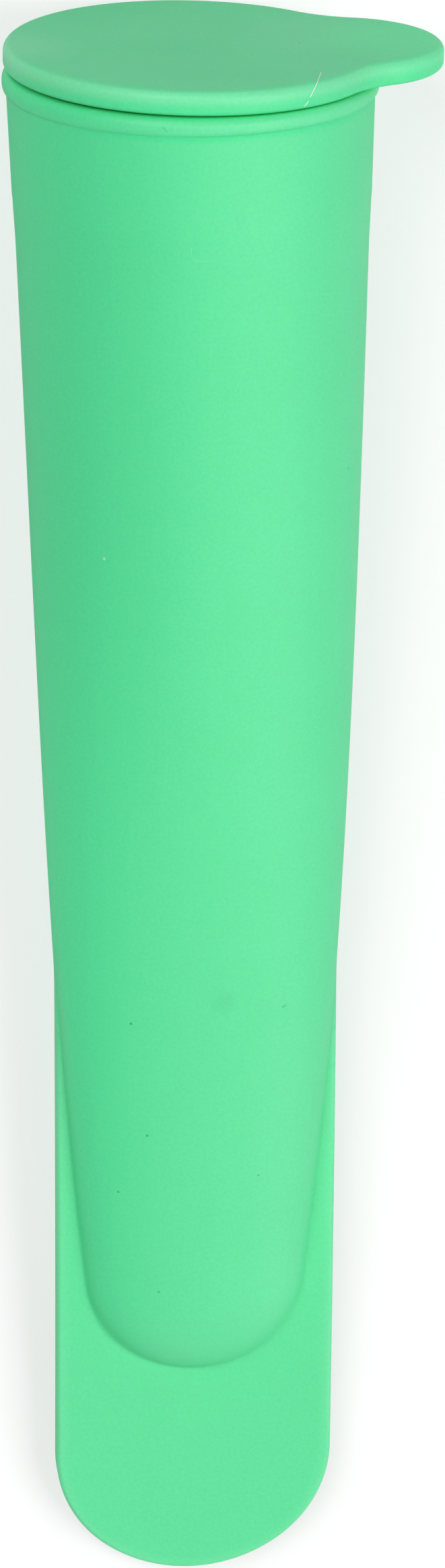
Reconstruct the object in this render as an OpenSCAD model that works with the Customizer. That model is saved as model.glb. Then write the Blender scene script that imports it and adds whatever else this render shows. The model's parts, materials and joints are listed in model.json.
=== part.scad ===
// Push-up ice pop mould in soft silicone: a tube that is round at its mouth, flattens towards a flat
// round-ended tongue, and is closed by a plug-in lid with a pull tab.
// It lies on its back as it would come to rest: +Y runs up the tube to the lid, +X to the pull tab.
// Sizes along the tube are measured down from the plane of its mouth.

/* [Mouth] */
// Outer diameter of the wall just below the bead
mouth_d = 43.7; // [40:0.1:48]
// How far the bead around the mouth stands out from the wall
bead_lip = 0.5; // [0.3:0.05:1]
// Height of the bead
bead_h = 2.05; // [1.8:0.05:3]
// Radius of the bead's rounded edges
bead_round = 0.9; // [0.4:0.05:0.9]
// Depth of the round seat that takes the plug of the lid
seat_depth = 15; // [14.5:0.5:20]
// Draft of the seat's wall, in degrees
seat_draft = 2; // [0.5:0.1:4]
// Chamfer that leads the plug into the mouth
lead_in = 0.4; // [0.2:0.05:0.8]

/* [Tube] */
// Length from the mouth to the tip of the tongue
tube_len = 197; // [185:1:215]
// Thickness of the wall
wall = 1.8; // [1.2:0.1:2.2]
// How much the wall steps in below the seat, where the plug no longer swells it
seat_swell = 0.1; // [0.05:0.05:0.5]
// Length over which the wall steps in
swell_run = 6; // [3:0.5:10]

/* [Pocket] */
// Radius of the pocket's rounded end, seen square on to the tongue
pocket_r = 14.2; // [12:0.1:15]
// Thickness of the pocket where its end begins to round
pocket_t = 14; // [11:0.5:18]
// Slope of the pocket's sides where its end begins to round, in degrees
pocket_draft = 6.5; // [4:0.1:9]

/* [Tongue] */
// Length of bare tongue beyond the pocket
tongue_bare = 28.2; // [22:0.2:34]
// Width of the tongue
tongue_w = 35.1; // [32:0.1:37]
// Thickness of the tongue
tongue_t = 3; // [2.2:0.1:4]
// Radius of the tongue's rounded edges
tongue_round = 0.6; // [0.3:0.1:1]
// How much larger than half the tongue's width the radius of its tip is
tip_over = 1; // [0.3:0.1:3]
// How much smaller than half the tongue's width the radius of the curves beside its tip is
corner_under = 1.5; // [0.4:0.1:4]

/* [Lid] */
// Diameter of the lid's disc
lid_d = 44.4; // [43.4:0.2:47]
// Thickness of the lid's disc and tab
lid_t = 2.95; // [2.2:0.05:3.5]
// Radius of the lid's upper edge
lid_top_round = 1; // [0.5:0.1:1.2]
// Radius of the lid's lower edge
lid_low_round = 0.8; // [0.4:0.1:0.9]
// Radius of the pull tab's round end
tab_r = 11.6; // [10:0.2:14]
// Distance from the middle of the lid to the middle of the tab's round end
tab_reach = 18.9; // [17:0.1:22]
// Radius of the hollow curves between disc and tab
tab_blend = 12.5; // [8:0.5:14]
// How far the tab is turned back out of the tongue's plane, in degrees
lid_turn = 6; // [-20:0.5:20]
// How far the lid has come unseated on the side away from its tab, in degrees
lid_cock = 1.3; // [0:0.1:1.5]
// Gap left under the lid where it bears on the mouth
lid_gap = 0.04; // [0.03:0.01:0.1]

/* [Plug] */
// Depth of the plug below the lid
plug_depth = 13; // [8:0.5:13]
// Gap all round between the plug and the seat at the seat's foot
plug_gap = 0.7; // [0.65:0.05:1]
// Thickness of the plug's wall
plug_wall = 1.8; // [1.2:0.1:2.4]
// Number of sealing ribs around the plug
rib_count = 2; // [1:1:3]
// How far a sealing rib stands out from the plug
rib_h = 0.25; // [0.15:0.05:0.3]

/* [Hidden] */

mint = [0.36, 0.86, 0.59];
mint_light = [0.45, 0.89, 0.65];

// Surfaces that would coincide where two shapes join are kept this far apart
skin = 0.05;
// Cuts run this far past what they open
over = 1;
round_fn = 96;

// Points around a section of the tube, and sections along its body and around its end
section_n = 48;
body_steps = 16;
end_steps = 8;
// The pocket's end is closed flat this near to its pole, in degrees
end_angle = 85;
// The tongue's root lies where the wall covers its edges by this much
root_cover = 0.25;

mouth_r = mouth_d / 2;
rim_r = mouth_r + bead_lip;
foot_r = mouth_r - (seat_depth - bead_h) * tan(seat_draft);
bore_top_r = mouth_r - wall;
bore_foot_r = foot_r - wall;

// The pocket's end is an ellipsoid about end_c, met tangentially by the sides at end_start
end_c = tube_len - tongue_bare - pocket_r;
end_start = end_c + pocket_r * sin(pocket_draft);
body_len = end_start - seat_depth;
body_top_r = foot_r - skin - seat_swell;
side_drop = body_top_r - pocket_r * cos(pocket_draft);
depth_drop = body_top_r - pocket_t / 2 * cos(pocket_draft);
side_power = 4;
// Share of the sides' closing-in that follows a fourth power, so that they end at the pocket's draft
side_curve = (tan(pocket_draft) * body_len / side_drop - 1) / (side_power - 1);

// Half width and half depth of the tube at a distance down it, set in from the outside by inset
function ease(u) = let (v = min(max(u, 0), 1)) v * v * (3 - 2 * v);
function swell(s) = seat_swell * (1 - ease((s - seat_depth) / swell_run));
function down(s) = max(s - seat_depth, 0) / body_len;
function end_share(s, r) = sqrt(max(1 - pow((s - end_c) / r, 2), 0));
function half_w(s, inset) = s > end_start
    ? (pocket_r - inset) * end_share(s, pocket_r - inset)
    : body_top_r + swell(s) - inset
        - side_drop * ((1 - side_curve) * down(s) + side_curve * pow(down(s), side_power));
function half_d(s, inset) = s > end_start
    ? (pocket_t / 2 - inset) * end_share(s, pocket_r - inset)
    : body_top_r + swell(s) - inset - depth_drop * down(s);

// Distances of the sections: through the swelling, down the body and around the end
function stations(inset) = concat(
    [seat_depth - over, seat_depth],
    [for (i = [1:3]) seat_depth + i * swell_run / 3],
    [for (i = [1:body_steps]) seat_depth + swell_run + i * (body_len - swell_run) / body_steps],
    [for (i = [1:end_steps]) end_c + (pocket_r - inset)
        * sin(pocket_draft + i * (end_angle - pocket_draft) / end_steps)]);

// How the mould lies: its back rests on one point of the mouth's end and one of the pocket's end
back = concat(
    [[bead_h / 2, rim_r], [seat_depth, foot_r]],
    [for (s = stations(0)) [s, half_d(s, 0)]]);
balance_s = (seat_depth + end_start) / 2;
function slope_from(p) = min([for (q = back) if (q[0] > balance_s) atan2(p[1] - q[1], q[0] - p[0])]);
lie_tilt = max([for (p = back) if (p[0] < balance_s) slope_from(p)]);
lie_height = max([for (p = back) p[1] * cos(lie_tilt) + p[0] * sin(lie_tilt)]);

// The lid bears on the mouth's flat rim on the side of its tab, and is cocked about that point
bear_r = rim_r - bead_round;
lid_r = lid_d / 2;
lid_edge_r = lid_r - lid_top_round;
lid_rise = lid_gap + bear_r * sin(lid_cock) + (lid_t - lid_top_round) * cos(lid_cock);
lid_slant = acos(cos(lid_cock) * cos(lie_tilt));

// Ends of the mould as it lies, which set its origin at the middle of its underside
reach_y = lid_rise * cos(lie_tilt) + lid_edge_r * sin(lid_slant) + lid_top_round;
tail_y = tongue_round + (tube_len - tongue_round) * cos(lie_tilt)
    + (tongue_t / 2 - tongue_round) * sin(lie_tilt);
reach_x = tab_reach * cos(lid_turn) + tab_r + (lid_t - lid_top_round) * sin(lid_cock);

// Centre of the circle that blends disc and tab, in the lid's own plane
blend_x = (pow(lid_r + tab_blend, 2) - pow(tab_r + tab_blend, 2) + pow(tab_reach, 2)) / (2 * tab_reach);
blend_y = sqrt(pow(lid_r + tab_blend, 2) - pow(blend_x, 2));

// Turns the tube down on its back and brings the middle of its underside to the origin
module lie_down()
    translate([(rim_r - reach_x) / 2, (tail_y - reach_y) / 2, lie_height])
        rotate([lie_tilt - 90, 0, 0])
            children();

// Closed shape through elliptical sections at the given distances down the tube
module tube_form(inset) {
    at = stations(inset);
    n = section_n;
    last = len(at) - 1;
    polyhedron(
        points = [for (s = at) for (k = [0:n - 1])
            [half_w(s, inset) * cos(k * 360 / n), half_d(s, inset) * sin(k * 360 / n), -s]],
        faces = concat(
            [[for (k = [n - 1:-1:0]) k]],
            [for (i = [0:last - 1]) for (k = [0:n - 1])
                [i * n + k, i * n + (k + 1) % n, (i + 1) * n + (k + 1) % n, (i + 1) * n + k]],
            [[for (k = [0:n - 1]) last * n + k]]));
}

// Outside of the mouth: the wall of the seat with the rounded bead around its top
module mouth_form()
    rotate_extrude($fn = round_fn) {
        polygon([[0, 0], [mouth_r, 0], [mouth_r, -bead_h], [foot_r, -seat_depth], [0, -seat_depth]]);
        translate([0, -bead_h]) square([rim_r - bead_round, bead_h]);
        translate([0, bead_round - bead_h]) square([rim_r, bead_h - 2 * bead_round]);
        for (z = [-bead_round, bead_round - bead_h])
            translate([rim_r - bead_round, z]) circle(bead_round, $fn = round_fn);
    }

// Seat for the plug, with its lead-in
module seat_bore()
    rotate_extrude($fn = round_fn)
        polygon([[0, over], [bore_top_r + lead_in, over], [bore_top_r + lead_in, 0],
            [bore_top_r, -lead_in], [bore_foot_r, -seat_depth], [0, -seat_depth]]);

// Half of a plate's section, from its middle out to its rounded edge
module plate_section(reach, thick, top_round, low_round) {
    translate([0, low_round]) square([reach, thick - top_round - low_round]);
    square([reach - low_round, thick / 2]);
    translate([0, thick / 2]) square([reach - top_round, thick / 2]);
    translate([reach - low_round, low_round]) circle(low_round, $fn = round_fn);
    translate([reach - top_round, thick - top_round]) circle(top_round, $fn = round_fn);
}

// Round plate of the tongue's section
module tongue_disc(radius)
    rotate_extrude($fn = round_fn) plate_section(radius, tongue_t, tongue_round, tongue_round);

// Flat tongue in the middle plane of the tube, from inside its walls down to its oval end, which is
// a sector of a large disc between two smaller ones
module tongue() {
    half = tongue_w / 2;
    root_s = max([for (s = stations(0)) if (half_w(s, 0) > half + root_cover) s]);
    tip_r = half + tip_over;
    far = 2 * tip_r;
    turn = asin(corner_under / (tip_over + corner_under));
    corner_down = (tip_over + corner_under) * cos(turn);
    translate([0, tongue_t / 2, tip_r - tube_len]) rotate([90, 0, 0]) {
        intersection() {
            tongue_disc(tip_r);
            translate([0, 0, -over]) linear_extrude(tongue_t + 2 * over)
                polygon([[0, 0], [-far * sin(turn), -far * cos(turn)], [0, -far],
                    [far * sin(turn), -far * cos(turn)]]);
        }
        translate([0, -corner_down, 0]) {
            for (side = [-1, 1]) translate([side * corner_under, 0, 0]) tongue_disc(half - corner_under);
            rotate([-90, 0, 0]) linear_extrude(tube_len - tip_r + corner_down - root_s)
                for (side = [0, 1]) mirror([side, 0]) mirror([0, 1])
                    plate_section(half, tongue_t, tongue_round, tongue_round);
        }
    }
}

module mold_tube()
    color(mint) lie_down() difference() {
        union() {
            mouth_form();
            tube_form(0);
            tongue();
        }
        seat_bore();
        tube_form(wall);
    }

// Web that joins disc and tab, hollowed by the two blend circles with the plate's rounded edge
module tab_web()
    difference() {
        linear_extrude(lid_t)
            polygon([[0, 0], [blend_x, -blend_y], [tab_reach, 0], [blend_x, blend_y]]);
        for (side = [-1, 1])
            translate([blend_x, side * blend_y, 0]) rotate_extrude($fn = round_fn) difference() {
                translate([0, -over]) square([tab_blend + 2 * lid_t, lid_t + 2 * over]);
                translate([tab_blend + 3 * lid_t, 0]) mirror([1, 0])
                    plate_section(3 * lid_t, lid_t, lid_top_round, lid_low_round);
            }
    }

// Plug under the lid: a thin skirt with sealing ribs around it
module plug() {
    plug_r = bore_foot_r - plug_gap;
    difference() {
        rotate_extrude($fn = round_fn) {
            translate([0, -plug_depth]) square([plug_r, plug_depth + lid_t / 2]);
            for (i = [1:rib_count])
                translate([plug_r, -i * plug_depth / (rib_count + 1)]) circle(rib_h, $fn = round_fn);
        }
        translate([0, 0, -plug_depth - over])
            cylinder(r = plug_r - plug_wall, h = plug_depth + over, $fn = round_fn);
    }
}

module lid()
    color(mint_light) lie_down()
        translate([bear_r, 0, lid_gap]) rotate([0, lid_cock, 0]) translate([-bear_r, 0, 0])
            rotate([0, 0, lid_turn]) {
                rotate_extrude($fn = round_fn) plate_section(lid_r, lid_t, lid_top_round, lid_low_round);
                translate([tab_reach, 0, 0]) rotate_extrude($fn = round_fn)
                    plate_section(tab_r, lid_t, lid_top_round, lid_low_round);
                tab_web();
                plug();
            }

mold_tube();
lid();
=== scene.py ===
"""Push-up ice pop mould of mint silicone: tube and lid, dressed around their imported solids.

Sizes are in millimetres in the tube's own frame: x across the tongue towards the pull tab, y away from
the viewer, z up the tube, with the rim of the mouth in the plane z = 0. Distances "down" start at that
rim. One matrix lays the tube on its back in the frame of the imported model, which is in metres.
"""

import json
import logging
import math
from collections.abc import Sequence
from dataclasses import dataclass, field
from enum import Enum

import bpy
import numpy as np
from mathutils import Matrix, Vector


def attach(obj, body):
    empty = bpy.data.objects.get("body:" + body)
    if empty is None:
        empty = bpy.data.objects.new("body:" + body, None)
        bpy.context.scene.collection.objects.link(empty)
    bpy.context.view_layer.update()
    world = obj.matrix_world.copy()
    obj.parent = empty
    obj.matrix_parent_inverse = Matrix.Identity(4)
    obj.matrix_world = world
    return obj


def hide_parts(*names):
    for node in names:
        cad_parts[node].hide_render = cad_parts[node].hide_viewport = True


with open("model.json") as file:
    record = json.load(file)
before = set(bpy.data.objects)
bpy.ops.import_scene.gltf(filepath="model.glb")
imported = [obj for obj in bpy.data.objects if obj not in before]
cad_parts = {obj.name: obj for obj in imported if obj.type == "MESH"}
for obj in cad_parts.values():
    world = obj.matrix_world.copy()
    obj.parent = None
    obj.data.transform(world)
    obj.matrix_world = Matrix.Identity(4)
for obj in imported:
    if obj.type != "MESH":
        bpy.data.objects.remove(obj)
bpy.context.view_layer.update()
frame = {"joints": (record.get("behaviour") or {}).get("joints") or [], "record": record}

LOG = logging.getLogger("ice_pop_mould")
MM = 0.001
MERGE_MM = 0.002

Ring = list[tuple[float, float, float]]
Tree = bpy.types.NodeTree
Socket = bpy.types.NodeSocket
Outputs = bpy.types.NodeOutputs


def colour(hex_code: str) -> tuple[float, float, float, float]:
    """Turns an sRGB hex code into linear light.

    Args:
        hex_code: Six hex digits after a hash sign.

    Returns:
        Red, green, blue and an alpha of 1.
    """
    shares = [int(hex_code[i : i + 2], 16) / 255 for i in (1, 3, 5)]
    linear = [s / 12.92 if s <= 0.04045 else ((s + 0.055) / 1.055) ** 2.4 for s in shares]
    return (*linear, 1.0)


def put(name: str, data: bpy.types.ID) -> bpy.types.Object:
    """Puts a mesh, lamp or camera into the scene as an object at the origin.

    Args:
        name: The object's name.
        data: Its mesh, lamp or camera.

    Returns:
        The object.
    """
    item = bpy.data.objects.new(name, data)
    bpy.context.scene.collection.objects.link(item)
    return item


def add(
    tree: Tree, kind: str, feeds: dict[str | int, object] | None = None, **settings: object
) -> Outputs:
    """Adds one node with its settings and with what feeds its inputs.

    Args:
        tree: The node tree that the node goes into.
        kind: The node's type.
        feeds: For each input, by name or number, its value, or the socket or list of sockets linked to it.
        **settings: Properties of the node.

    Returns:
        The new node's outputs.
    """
    node = tree.nodes.new(kind)
    for name, value in settings.items():
        setattr(node, name, value)
    for key, source in (feeds or {}).items():
        for part in source if isinstance(source, list) else [source]:
            if isinstance(part, Socket):
                tree.links.new(part, node.inputs[key])
            else:
                node.inputs[key].default_value = part
    return node.outputs


def start_material(name: str) -> tuple[bpy.types.Material, Tree]:
    """Starts a material with an empty node tree.

    Args:
        name: The material's name.

    Returns:
        The material and its node tree.
    """
    material = bpy.data.materials.new(name)
    material.use_nodes = True
    material.node_tree.nodes.clear()
    return material, material.node_tree


def start_tree(name: str, sizes: Sequence[str]) -> tuple[Tree, Outputs]:
    """Starts a Geometry Nodes tree that takes a mesh, named sizes and a finish.

    Args:
        name: The tree's name.
        sizes: Names of its number inputs.

    Returns:
        The tree and its inputs' sockets.
    """
    tree = bpy.data.node_groups.new(name, "GeometryNodeTree")
    tree.interface.new_socket("Mesh", in_out="INPUT", socket_type="NodeSocketGeometry")
    for size in sizes:
        tree.interface.new_socket(size, in_out="INPUT", socket_type="NodeSocketFloat")
    tree.interface.new_socket("Finish", in_out="INPUT", socket_type="NodeSocketMaterial")
    tree.interface.new_socket("Mesh", in_out="OUTPUT", socket_type="NodeSocketGeometry")
    return tree, add(tree, "NodeGroupInput")


def end_tree(tree: Tree, given: Outputs, shape: Socket) -> None:
    """Ends a tree: doubles merged, shaded smooth, realized and given its finish.

    Args:
        tree: The tree.
        given: Its inputs' sockets.
        shape: The socket with the finished shape.
    """
    merged = add(tree, "GeometryNodeMergeByDistance", {"Geometry": shape, "Distance": MERGE_MM})
    smooth = add(tree, "GeometryNodeSetShadeSmooth", {"Geometry": merged[0]})
    real = add(tree, "GeometryNodeRealizeInstances", {"Geometry": smooth[0]})
    finished = add(tree, "GeometryNodeSetMaterial", {"Geometry": real[0], "Material": given["Finish"]})
    add(tree, "NodeGroupOutput", {"Mesh": finished[0]})


def skin(name: str, rings: Sequence[Ring]) -> bpy.types.Mesh:
    """Makes a mesh of quads through closed rings that all have the same number of points.

    Args:
        name: The mesh's name.
        rings: The rings, in order.

    Returns:
        The mesh.
    """
    count = len(rings[0])
    points = [p for ring in rings for p in ring]
    faces = [
        (i * count + k, i * count + (k + 1) % count, (i + 1) * count + (k + 1) % count, (i + 1) * count + k)
        for i in range(len(rings) - 1)
        for k in range(count)
    ]
    mesh = bpy.data.meshes.new(name)
    mesh.from_pydata(points, [], faces)
    return mesh


def grow(
    name: str,
    base: bpy.types.Mesh,
    tree: Tree,
    sizes: dict[str, float],
    finish: bpy.types.Material,
    place: Matrix,
) -> bpy.types.Object:
    """Runs a tree on a base mesh and keeps what comes out as a plain piece at the origin.

    Args:
        name: The piece's name.
        base: The mesh that goes into the tree.
        tree: The Geometry Nodes tree.
        sizes: Its number inputs by name.
        finish: The material that it sets.
        place: The matrix from the piece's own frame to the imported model's.

    Returns:
        The piece.
    """
    carrier = put(name + "_base", base)
    modifier = carrier.modifiers.new("shape", "NODES")
    modifier.node_group = tree
    for item in tree.interface.items_tree:
        if item.in_out == "INPUT" and item.name in sizes:
            modifier[item.identifier] = float(sizes[item.name])
        elif item.in_out == "INPUT" and item.name == "Finish":
            modifier[item.identifier] = finish
    shaped = carrier.evaluated_get(bpy.context.evaluated_depsgraph_get())
    mesh = bpy.data.meshes.new_from_object(shaped)
    mesh.transform(place)
    carrier.modifiers.remove(modifier)
    bpy.data.objects.remove(carrier)
    mesh.name = name
    return put(name, mesh)


def volume_cm3(mesh: bpy.types.Mesh) -> float:
    """Works out a closed mesh's volume, which is negative if its faces point inwards.

    Args:
        mesh: The mesh, in metres.

    Returns:
        The volume in cubic centimetres.
    """
    mesh.calc_loop_triangles()
    points = np.empty(len(mesh.vertices) * 3)
    mesh.vertices.foreach_get("co", points)
    points = points.reshape(-1, 3)
    corners = np.empty(len(mesh.loop_triangles) * 3, dtype=np.int32)
    mesh.loop_triangles.foreach_get("vertices", corners)
    a, b, c = (points[corners.reshape(-1, 3)[:, i]] for i in range(3))
    return float(np.einsum("ij,ij->i", a, np.cross(b, c)).sum() / 6 * 1e6)


def steps(start: float, end: float, count: int) -> list[float]:
    """Gives evenly spaced values after start, the last of which is end."""
    return [start + (end - start) * i / count for i in range(1, count + 1)]


class Tone(Enum):
    """What a mark on the silicone does to its colour."""

    DARK = "dirt"
    # Pale marks are dust specks, and painted sheen on the lid's top
    PALE = "dust, or rubbing by fingers"
    # A full mark is a painted glow of light through the thin tab
    FULL = "clean silicone that light passes through"


@dataclass(frozen=True)
class Mark:
    """A round spot on a surface, soft at its rim.

    Attributes:
        across: Its x in millimetres.
        down: Its distance down from the rim, or its y on the lid.
        radius: Its radius in millimetres.
        strength: How much of its colour covers the silicone, up to 1.
        tone: What it does to the silicone's colour.
    """

    across: float
    down: float
    radius: float
    strength: float
    tone: Tone = Tone.DARK


@dataclass(frozen=True)
class Band:
    """A band of painted shade or highlight around a piece, at distances along its axis in millimetres.

    Attributes:
        tint: The band's own colour.
        share: How much of it covers the silicone, up to 1.
        start: Where the band starts.
        full: Where it reaches its share.
        fading: Where it starts to fade.
        end: Where it ends.
    """

    tint: str
    share: float
    start: float
    full: float
    fading: float
    end: float


# Tones laid over the silicone, nearly all of them painted light: a pale tone for dust specks and for painted
# highlight on the bead, the lid's top edge, the tongue's edge and the right flank; painted shade in the
# corner under the bead and along the lid's lower side; fuller painted shade in the gap under the lid and in
# the crease; painted shade on the left flank; and a dark tone for dirt specks and for painted shade on the
# upper left of the tube
DUST_AND_HIGHLIGHT = "#C9F7DC"
CORNER_SHADE = "#48E398"
GAP_AND_CREASE_SHADE = "#20E78C"
SHADED = "#57EFA4"
DIRT_AND_SHADE = "#2F7A55"


@dataclass(frozen=True)
class PaintedLight:
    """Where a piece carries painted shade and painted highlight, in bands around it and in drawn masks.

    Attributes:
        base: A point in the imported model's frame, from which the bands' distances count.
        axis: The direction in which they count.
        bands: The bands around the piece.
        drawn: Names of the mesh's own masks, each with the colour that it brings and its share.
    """

    base: Vector
    axis: Vector
    bands: tuple[Band, ...]
    drawn: tuple[tuple[str, str, float], ...] = ()

    def covers(self, tree: Tree, at: Socket) -> list[tuple[Socket, str]]:
        """Adds the nodes that find how much each band and each drawn mask covers.

        Args:
            tree: The material's node tree.
            at: The place on the piece.

        Returns:
            The share and the colour of each, in the order in which they lie over one another.
        """
        from_base = add(tree, "ShaderNodeVectorMath", {0: at, 1: self.base}, operation="SUBTRACT")[0]
        along = {0: from_base, 1: self.axis}
        level = add(tree, "ShaderNodeVectorMath", along, operation="DOT_PRODUCT")["Value"]
        covers = []
        for band in self.bands:
            rising = {0: level, 1: band.start * MM, 2: band.full * MM, 3: 0.0, 4: band.share}
            falling = {0: level, 1: band.fading * MM, 2: band.end * MM, 3: 1.0, 4: 0.0}
            ends = {
                i: add(tree, "ShaderNodeMapRange", ramp, interpolation_type="SMOOTHSTEP")[0]
                for i, ramp in enumerate((rising, falling))
            }
            covers.append((add(tree, "ShaderNodeMath", ends, operation="MULTIPLY")[0], band.tint))
        for mask, tint, share in self.drawn:
            drawn = add(tree, "ShaderNodeAttribute", attribute_name=mask)["Fac"]
            covers.append((add(tree, "ShaderNodeMath", {0: drawn, 1: share}, operation="MULTIPLY")[0], tint))
        return covers


@dataclass(frozen=True)
class Silicone:
    """Mint silicone rubber, cast in a fine-blasted steel mould.

    It is satin rather than glossy, light passes a little way through it, so thin edges and rims glow,
    and fine dust clings in its grain.
    """

    name: str
    body: str = "#64E6A3"
    cloud: str = "#5FE19D"
    # Tones of the marks: dirt specks; dust specks and painted sheen; a painted glow of light through the tab
    dark_mark: str = DIRT_AND_SHADE
    pale_mark: str = DUST_AND_HIGHLIGHT
    full_mark: str = "#64F6A9"
    ior: float = 1.44
    roughness: tuple[float, float] = (0.46, 0.56)
    through_mm: tuple[float, float, float] = (0.6, 1.8, 1.1)
    through_share: float = 0.35
    cloud_mm: float = 14.0
    ripple_mm: float = 9.0
    ripple_deep_mm: float = 0.2
    ripple_strength: float = 0.25
    grain_mm: float = 0.4
    grain_span: tuple[float, float] = (0.25, 0.75)
    grain_deep_mm: float = 0.03
    grain_strength: float = 0.45
    dust_share: float = 0.03
    mark_core: float = 0.45
    mark_rim: float = 1.3

    def covers(
        self, tree: Tree, at: Socket, marks: Sequence[tuple[Mark, Vector]]
    ) -> list[tuple[Socket, str]]:
        """Adds the nodes that find how much each mark covers.

        Args:
            tree: The material's node tree.
            at: The place on the piece.
            marks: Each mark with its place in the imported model's frame.

        Returns:
            The share and the colour of each.
        """
        tints = {Tone.DARK: self.dark_mark, Tone.PALE: self.pale_mark, Tone.FULL: self.full_mark}
        covers = []
        for mark, point in marks:
            away = add(tree, "ShaderNodeVectorMath", {0: at, 1: point}, operation="DISTANCE")["Value"]
            core, rim = (mark.radius * MM * part for part in (self.mark_core, self.mark_rim))
            fading = {0: away, 1: core, 2: rim, 3: mark.strength, 4: 0.0}
            covers.append((add(tree, "ShaderNodeMapRange", fading)[0], tints[mark.tone]))
        return covers

    def make(self, marks: Sequence[tuple[Mark, Vector]], painted_light: PaintedLight) -> bpy.types.Material:
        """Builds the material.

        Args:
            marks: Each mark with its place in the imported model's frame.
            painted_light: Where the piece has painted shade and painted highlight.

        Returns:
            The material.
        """
        material, tree = start_material(self.name)
        at = add(tree, "ShaderNodeTexCoord")["Object"]
        clouds, grain, waves = (
            add(tree, "ShaderNodeTexNoise", {"Vector": at, "Scale": 1 / (size * MM), "Detail": detail})["Fac"]
            for size, detail in ((self.cloud_mm, 3.0), (self.grain_mm, 2.0), (self.ripple_mm, 1.0))
        )
        tones = {0: clouds, 6: colour(self.body), 7: colour(self.cloud)}
        shade = add(tree, "ShaderNodeMix", tones, data_type="RGBA")[2]
        for cover, tint in painted_light.covers(tree, at) + self.covers(tree, at, marks):
            shade = add(tree, "ShaderNodeMix", {0: cover, 6: shade, 7: colour(tint)}, data_type="RGBA")[2]
        # Grain of the blasted mould, drawn a little coarser than it is so that it shows, with dust in it
        low, high = self.grain_span
        settled = {0: grain, 1: low, 2: high, 3: 1 - self.dust_share, 4: 1 + self.dust_share}
        dust = add(tree, "ShaderNodeMapRange", settled)[0]
        dusty = add(tree, "ShaderNodeVectorMath", {0: shade, "Scale": dust}, operation="SCALE")[0]
        smooth, rough = self.roughness
        feel = add(tree, "ShaderNodeMapRange", {0: clouds, 3: smooth, 4: rough})[0]
        ripple = {"Height": waves, "Strength": self.ripple_strength, "Distance": self.ripple_deep_mm * MM}
        relief = {
            "Height": grain,
            "Strength": self.grain_strength,
            "Distance": self.grain_deep_mm * MM,
            "Normal": add(tree, "ShaderNodeBump", ripple)[0],
        }
        finish = {
            "Base Color": dusty,
            "Roughness": feel,
            "IOR": self.ior,
            "Subsurface Weight": self.through_share,
            "Subsurface Radius": tuple(r * MM for r in self.through_mm),
            "Subsurface Scale": 1.0,
            "Normal": add(tree, "ShaderNodeBump", relief)[0],
        }
        surface = add(tree, "ShaderNodeBsdfPrincipled", finish)
        add(tree, "ShaderNodeOutputMaterial", {"Surface": surface[0]})
        return material


@dataclass(frozen=True)
class LintFibre:
    """White polyester lint: a matt hair with a soft sheen."""

    name: str
    tint: str
    glint: str
    roughness: float = 0.7
    sheen: float = 0.3
    kink_mm: float = 0.5

    def make(self) -> bpy.types.Material:
        """Builds the material, paler at each kink of the hair, where it catches the light.

        Returns:
            The material.
        """
        material, tree = start_material(self.name)
        at = add(tree, "ShaderNodeTexCoord")["Object"]
        scale = 1 / (self.kink_mm * MM)
        kinks = add(tree, "ShaderNodeTexNoise", {"Vector": at, "Scale": scale, "Detail": 2.0})["Fac"]
        tones = {0: kinks, 6: colour(self.tint), 7: colour(self.glint)}
        shade = add(tree, "ShaderNodeMix", tones, data_type="RGBA")[2]
        finish = {"Base Color": shade, "Roughness": self.roughness, "Sheen Weight": self.sheen}
        surface = add(tree, "ShaderNodeBsdfPrincipled", finish)
        add(tree, "ShaderNodeOutputMaterial", {"Surface": surface[0]})
        return material


# Values of the steps below: the slope at which the tongue's face falls away past its edge, a depth inside
# the tube where no tongue shows, the rounding where wall and tongue meet in outline, how fast the masks of
# painted shade on the left flank rise across it, and the sine below which a point of a ring lies in the
# middle plane
EDGE_FALL = 6.0
FAR_IN = 3.0
SIDE_FILLET = 0.25
LEFT_RISE = -1.1
WIDE_RISE = -2.53
MIDDLE_SINE = 0.0001

# Stretches of the distance down along which a share comes or goes: in each row the result, the curve, and
# where it starts and ends and with what, which are sizes of MouldTube or values
TUBE_RAMPS: tuple[tuple[str | float, ...], ...] = (
    ("swell", "SMOOTHSTEP", "down", "seat_depth", "swell_end", "seat_swell", 0.0),
    ("bare", "LINEAR", "down", "flange_start", "flange_full", 0.0, 1.0),
    # Between these distances down the painted shade on the left flank turns from its upper form to its lower
    # one
    ("low", "SMOOTHSTEP", "down", "dull_full", "dull_end", 0.0, 1.0),
)

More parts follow.
